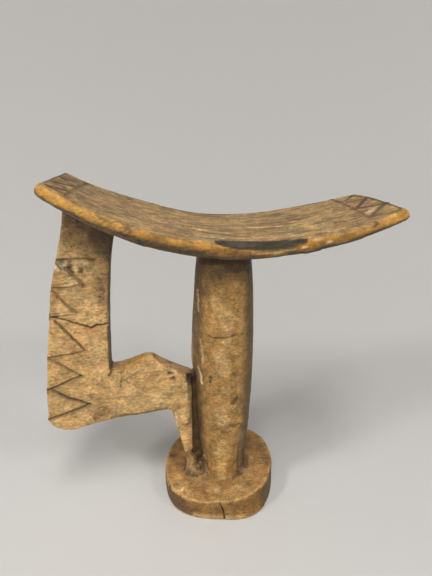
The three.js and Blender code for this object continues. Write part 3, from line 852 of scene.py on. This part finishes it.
def carve(mesh):
    """Moves the fine mesh's points to give tool marks, worn edges, cuts, cracks and chips."""
    cuts = all_cuts()
    points = fill_old_cuts(read_points(mesh), cuts)
    write_points(mesh, points)
    edges = read_edges(mesh)
    start = points.copy()
    normals = smoothed(read_normals(mesh), edges, 3)
    normals /= np.linalg.norm(normals, axis=1)[:, None]
    zone = zones(points, normals)

    # Worn edges: the arrises are rounded by an uneven amount.
    pull = smoothed(points, edges, 6) - points
    outwards = (pull * normals).sum(axis=1) < 0
    worn = np.clip(0.25 + 0.8 * rough(points, 8, 51), 0, 1) * (1 - 0.7 * zone["foot_top"])
    points += pull * (outwards * worn)[:, None]

    points += normals * tool_marks(points, zone)[:, None]

    # Pits and chips.
    for centre, reach, depth in CHIPS:
        share = spot(points, centre, reach)
        points -= normals * (depth * step(0, 0.8, share))[:, None]

    # The charred facet.
    burn = burn_share(start)
    points[:, 2] -= burn * burn_cut(start)

    push, dark = line_marks(start, cuts)
    points += push

    # The underside of the foot stays flat on the table.
    low = start[:, 2] < 0.5
    points[low, 2] = start[low, 2]
    points[:, 2] = np.maximum(points[:, 2], 0)
    write_points(mesh, points)
    return {"dark": dark, "burn": burn, "start": start}


def mix(tone, colour, share):
    """Blends each point's colour towards another one by its share."""
    share = np.clip(share, 0, 1)[:, None]
    return tone * (1 - share) + np.asarray(colour) * share


def paint_zones(points, normals, zone):
    """The wood's main colour in each zone, with its slow changes along each."""
    x, y, z = points.T
    tone = np.tile(WOODS["column"], (len(points), 1))
    tone = mix(tone, WOODS["arm"], zone["board"])
    tone = mix(tone, WOODS["foot_side"], zone["foot_side"])
    tone = mix(tone, WOODS["foot_top"], zone["foot_top"])
    gold = mix(np.tile(WOODS["gold"], (len(points), 1)), WOODS["rim"],
               step(-74, -30, x + 6 * rough(points, 9, 70)) * (1 - step(58, 78, x)))
    # The front edge darkens low down towards the underside's colour, partly as painted shade.
    low_edge = step(2.2, 4.6, zone["seat_depth"] + 1.2 * rough(points, 5, 96))
    gold = mix(gold, WOODS["under"], 0.55 * low_edge * step(-80, -66, x) * (1 - step(48, 66, x)))
    tone = tone * (1 - zone["rim"])[:, None] + gold * zone["rim"][:, None]
    tone = mix(tone, WOODS["top"], zone["top"])
    # The underside's dark colour, partly painted shade.
    tone = mix(tone, WOODS["under"], zone["under"])

    broad = rough(points, 17, 71) + 0.8 * rough(points, 7, 77)
    tone *= np.clip(1 + 0.26 * broad, 0.4, 1.7)[:, None]
    bare_zones = 1 - zone["plate"]
    tone = mix(tone, WOODS["red"], 0.30 * step(0.1, 0.7, rough(points, 12, 72)) * bare_zones)
    tone = mix(tone, WOODS["grey"], 0.32 * step(0.1, 0.7, rough(points, 9, 73)))
    tone = mix(tone, WOODS["pale"], 0.30 * step(0.15, 0.7, rough(points, 8, 78)) * bare_zones)
    streaks = step(0.0, 0.6, rough(points, (3.5, 3.5, 15), 94))
    streaks += 0.6 * step(0.1, 0.6, rough(points, 2.2, 95))
    return mix(tone, WOODS["olive"], 0.24 * streaks * zone["column"])


def painted_shade_and_dirt(points, normals, zone):
    """Painted shade, with some dirt where hands don't rub: below the plate, in corners, on the board's
    inner sides, on the round sides away from the front and in the groove; dirt on the stub.
    """
    x, y, z = points.T
    ragged = rough(points, 6, 74) + 0.6 * rough(points, 2.5, 79)
    column, board = zone["column"], zone["board"]

    # Painted shade below the plate, with some dirt, reaches further down the arm's right side.
    below = zone["below_plate"] + 1.5 * ragged
    arm_reach = 24 + 12 * step(-84, -58, x)
    layers = [
        column * 0.96 * (1 - step(-0.5, 6, below)),
        column * 0.80 * (1 - step(3, 27, below)),
        board * 0.93 * (1 - step(4, arm_reach, below)),
        board * 0.74 * (1 - step(5, 39, below)),
    ]

    # Painted shade on the board's sides that face the column, on its upper side at the back, and on the
    # arm's right edge.
    layers += [
        board * 0.95 * step(0.35, 0.85, normals[:, 0]) * (z > 60),
        board * 0.70 * step(0.3, 0.6, normals[:, 2]) * step(4.5, 6.5, y),
        board * 0.45 * step(-66, -60, x + 2 * ragged) * (z > 110),
    ]

    # Painted shade, with some dirt, on the sides of the column and of the foot, away from the rubbed
    # front.
    off_front = np.degrees(np.arctan2(y, x)) - COLUMN_FRONT + 6 * ragged
    off_foot_front = np.abs(np.degrees(np.arctan2(y - FOOT["y"], x - FOOT["x"])) - FOOT_FRONT)
    layers += [
        column * 0.86 * step(34, 64, off_front),
        column * 0.88 * step(24, 52, -off_front),
        zone["foot_side"] * 0.84 * step(22, 48, off_foot_front + 6 * ragged),
    ]

    # Dirt on the stub, and painted shade in the groove between the spike and the column.
    layers += [
        step(0, 0.5, spot(points, *STUB_DIRT)) * np.clip(0.38 + 0.45 * ragged, 0, 0.90),
        0.78 * step(0, 0.4, spot(points, *GROOVE_SHADE)) * (y > BOARD_FRONT + 0.6),
    ]
    return np.max(layers, axis=0)


def wear_dirt_and_shade(tone, points, edges, normals, zone, ragged):
    """Pale wear and gold on what stands out, dirt in flecks and in hollows, and painted shade with dirt
    along the back.
    """
    crest = ((points - smoothed(points, edges, 12)) * normals).sum(axis=1)
    away_from_front = zone["plate"] * step(-25, -18, points[:, 1])
    wear = step(0.14, 0.55, crest + ragged) * (1 - zone["under"]) * (1 - 0.75 * zone["board"])
    wear *= 1 - 0.5 * zone["foot_top"]
    tone = mix(tone, WOODS["gold"], 0.60 * wear * zone["plate"] * (1 - away_from_front))
    tone = mix(tone, WOODS["bare"], 0.70 * wear * (1 - zone["plate"]))
    # Painted shade and dirt on the plate's edges away from the front.
    tone = mix(tone, WOODS["dirt"], 0.55 * step(0.08, 0.45, crest) * away_from_front)
    flecks = step(0.25, 0.55, rough(points, (2.6, 1.8, 1.8), 91)) * zone["rim"] * (points[:, 0] < 12)
    tone = mix(tone, WOODS["olive"], 0.60 * flecks * (1 - step(1.5, 4.0, zone["seat_depth"])))
    hollow = step(0.10, 0.55, -crest + 0.10 * rough(points, 4, 76))
    return mix(tone, WOODS["dirt"], 0.85 * hollow)


def stained(tone, points, start, ragged):
    """The stains and spots, among them painted shade and painted highlights, and the pale flecks on the
    stub, placed on the shape before carving.
    """
    shift = 0.9 * np.stack([rough(points, 4, 81), rough(points, 4, 82)], axis=1)
    for face_of, line, half, colour, share in all_stains():
        face = face_of(start)
        away = line_distance(face.coords + shift * min(1.0, half), line)
        tone = mix(tone, WOODS[colour], share * (1 - step(0.35, 1.0, away / half)) * face.near)
    for centre, reach, colour, share in SPOTS:
        inside = spot(start, centre, reach)
        tone = mix(tone, WOODS[colour], share * step(0.0, 0.7, inside + ragged * (inside > 0)))
    stub = step(0, 0.5, spot(start, *STUB_DIRT))
    return mix(tone, WOODS["pale"], 0.65 * stub * step(0.2, 0.6, rough(start, 1.6, 92)))


def paint(mesh, marks):
    """Colours each point of the mesh by its zone, wear, dirt, painted shade and highlights, stains, burn
    and cuts.
    """
    points = read_points(mesh)
    edges = read_edges(mesh)
    normals = read_normals(mesh)
    zone = zones(points, smoothed(normals, edges, 2))
    ragged = 0.16 * rough(points, 5, 75)
    tone = paint_zones(points, normals, zone)
    # Painted shade, with some dirt.
    tone = mix(tone, WOODS["dirt"], painted_shade_and_dirt(points, normals, zone))
    tone = wear_dirt_and_shade(tone, points, edges, normals, zone, ragged)
    tone = stained(tone, points, marks["start"], ragged)

    sheen = 0.5 * step(0.0, 0.5, rough(marks["start"], (10, 1.3, 1.3), 93))
    char = mix(np.tile(WOODS["char"], (len(points), 1)), WOODS["char_sheen"], sheen)
    tone += (char - tone) * (0.96 * marks["burn"])[:, None]
    tone = mix(tone, WOODS["cut"], marks["dark"])

    colours = mesh.color_attributes.new("tone", "FLOAT_COLOR", "POINT")
    flat = np.ones((len(points), 4), np.float32)
    flat[:, :3] = tone
    colours.data.foreach_set("color", flat.ravel())
    smooth = np.maximum(0.3 * marks["burn"], marks["dark"])
    grit = (1 - 0.6 * smooth) * (1 - 0.35 * zone["rim"])
    for name, values in (("lengthwise", zone["top"]), ("char", marks["burn"]), ("grit", grit)):
        layer = mesh.attributes.new(name, "FLOAT", "POINT")
        layer.data.foreach_set("value", values.astype(np.float32))


class Nodes:
    """Short names for building a material's nodes."""

    def __init__(self, material):
        material.use_nodes = True
        self.tree = material.node_tree
        self.shader = self.tree.nodes["Principled BSDF"]

    def add(self, kind, inputs=(), **settings):
        node = self.tree.nodes.new(kind)
        for name, value in settings.items():
            setattr(node, name, value)
        for name, value in dict(inputs).items():
            if isinstance(value, bpy.types.NodeSocket):
                self.tree.links.new(value, node.inputs[name])
            else:
                node.inputs[name].default_value = value
        return node

    def value(self, name):
        return self.add("ShaderNodeAttribute", attribute_name=name).outputs["Fac"]

    def noise(self, where, stretch, detail=3.0, roughness=0.55):
        """Noise with its lumps stretched along each axis by the given lengths in millimetres."""
        size = tuple(1 / (length * MM) for length in stretch)
        mapped = self.add("ShaderNodeMapping", {"Vector": where, "Scale": size})
        inputs = {"Vector": mapped.outputs[0], "Scale": 1.0, "Detail": detail, "Roughness": roughness}
        return self.add("ShaderNodeTexNoise", inputs).outputs["Fac"]

    def spread(self, value, low, high, to_low, to_high):
        """Maps the values from low to high onto those from to_low to to_high."""
        inputs = {"Value": value, "From Min": low, "From Max": high, "To Min": to_low, "To Max": to_high}
        return self.add("ShaderNodeMapRange", inputs).outputs[0]

    def maths(self, operation, *values):
        return self.add("ShaderNodeMath", dict(enumerate(values)), operation=operation).outputs[0]

    def product(self, first, *others):
        for other in others:
            first = self.maths("MULTIPLY", first, other)
        return first

    def softened(self, factor, share):
        """Brings a factor nearer to 1 where the share is low."""
        return self.maths("ADD", self.maths("MULTIPLY", self.maths("SUBTRACT", factor, 1.0), share), 1.0)

    def scaled(self, vector, factor):
        inputs = {0: vector, "Scale": factor}
        return self.add("ShaderNodeVectorMath", inputs, operation="SCALE").outputs[0]

    def tinted(self, vector, tint):
        return self.add("ShaderNodeVectorMath", {0: vector, 1: tint}, operation="MULTIPLY").outputs[0]

    def blend(self, low, high, factor):
        node = self.add("ShaderNodeMix", {"Factor": factor}, data_type="RGBA")
        for name, value in (("A", low), ("B", high)):
            socket = next(i for i in node.inputs if i.name == name and i.type == "RGBA")
            self.tree.links.new(value, socket)
        return next(o for o in node.outputs if o.type == "RGBA")


def make_wood():
    """Old handled wood: mottled and speckled, with fine fibres along X, dark pores and a dull sheen."""
    material = bpy.data.materials.new("carved_wood")
    nodes = Nodes(material)
    where = nodes.add("ShaderNodeTexCoord").outputs["Object"]
    tone = nodes.add("ShaderNodeAttribute", attribute_name="tone").outputs["Color"]
    lengthwise = nodes.value("lengthwise")
    grit = nodes.value("grit")
    char = nodes.value("char")

    mottle = nodes.noise(where, (6.5, 5.0, 5.0), 5, 0.62)
    speckle = nodes.noise(where, (1.7, 1.1, 1.1), 3, 0.6)
    fibres = nodes.noise(where, (14, 0.9, 0.9), 4, 0.6)
    streaks = nodes.noise(where, (55, 2.4, 2.4), 4, 0.62)
    pores = nodes.noise(where, (1.5, 0.75, 0.75), 2, 0.5)
    pore_beds = nodes.noise(where, (13, 9, 9), 2, 0.5)

    bright = nodes.spread(mottle, 0.3, 0.7, 0.60, 1.41)
    fine = nodes.spread(speckle, 0.3, 0.7, 0.66, 1.35)
    thin = nodes.spread(fibres, 0.3, 0.7, 0.83, 1.17)
    long = nodes.softened(nodes.spread(streaks, 0.3, 0.7, 0.55, 1.46), lengthwise)
    pore_level = nodes.maths("SUBTRACT", pores, nodes.spread(pore_beds, 0.4, 0.6, 0.10, 0.0))
    pore_dark = nodes.spread(pore_level, 0.55, 0.67, 1.0, 0.54)
    factor = nodes.softened(nodes.product(bright, fine, thin, long, pore_dark), grit)
    colour = nodes.scaled(tone, factor)

    warm = nodes.tinted(colour, (1.05, 0.975, 0.90))
    olive = nodes.tinted(colour, (0.96, 1.01, 0.97))
    hue = nodes.noise(where, (7, 6, 6), 3, 0.5)
    colour = nodes.blend(olive, warm, nodes.spread(hue, 0.35, 0.65, 0.0, 1.0))
    plum = nodes.tinted(colour, (0.90, 0.82, 0.98))
    bands = nodes.noise(where, (70, 4.0, 4.0), 3, 0.55)
    plum_share = nodes.product(nodes.spread(bands, 0.42, 0.60, 0.0, 1.0), lengthwise)
    colour = nodes.blend(colour, plum, plum_share)
    nodes.tree.links.new(colour, nodes.shader.inputs["Base Color"])

    rough_low = nodes.spread(mottle, 0.3, 0.7, 0.52, 0.70)
    roughness = nodes.maths("MULTIPLY_ADD", char, 0.05, rough_low)
    nodes.tree.links.new(roughness, nodes.shader.inputs["Roughness"])
    nodes.shader.inputs["Specular IOR Level"].default_value = 0.36

    height = nodes.maths("MULTIPLY_ADD", fibres, 0.5, nodes.maths("MULTIPLY", speckle, 0.7))
    height = nodes.maths("SUBTRACT", height, nodes.spread(pore_level, 0.56, 0.66, 0.0, 0.5))
    bump = nodes.add("ShaderNodeBump", {"Height": height, "Strength": 0.6, "Distance": 0.3 * MM})
    nodes.tree.links.new(bump.outputs[0], nodes.shader.inputs["Normal"])
    return material


def make_headrest():
    """The one piece: the frame's solid, carved finer and painted."""
    mesh = even_mesh()
    mesh.name = "carved_headrest"
    paint(mesh, carve(mesh))
    mesh.polygons.foreach_set("use_smooth", [True] * len(mesh.polygons))
    mesh.materials.clear()
    mesh.materials.append(make_wood())
    headrest = bpy.data.objects.new("carved_headrest", mesh)
    bpy.context.scene.collection.objects.link(headrest)
    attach(headrest, "root")
    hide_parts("headrest")


make_camera()
make_sweep()
make_lights()
make_headrest()
